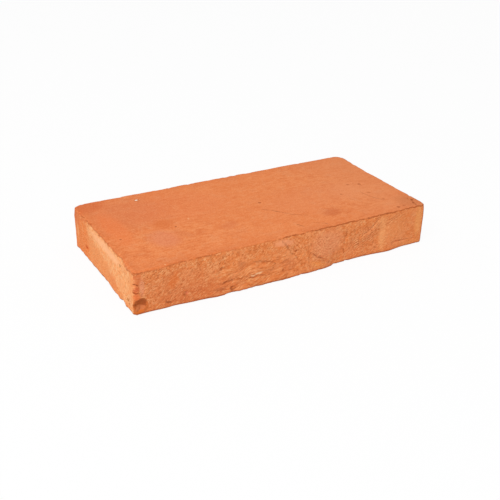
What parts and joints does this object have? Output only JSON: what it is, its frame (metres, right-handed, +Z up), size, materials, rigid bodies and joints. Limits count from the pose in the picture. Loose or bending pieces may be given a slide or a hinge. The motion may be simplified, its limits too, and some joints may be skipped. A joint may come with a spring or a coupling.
{
  "type": "floor brick",
  "caption": "Thin hand-moulded floor brick of fired clay: flat bed and wearing face, soft arrises, bellied and creased sides and a pitted corner.",
  "frame": {"origin": "middle of the bed, the underside on which the brick lies", "axes": "+X along the length, -Y out of the long face seen in the picture, +Z up out of the wearing face"},
  "size_m": [0.2153, 0.105, 0.03],
  "materials": {
    "fired_clay": "matte, unglazed, sandy fired terracotta"
  },
  "bodies": {
    "root": {"floor_brick": "fired_clay"}
  },
  "joints": []
}
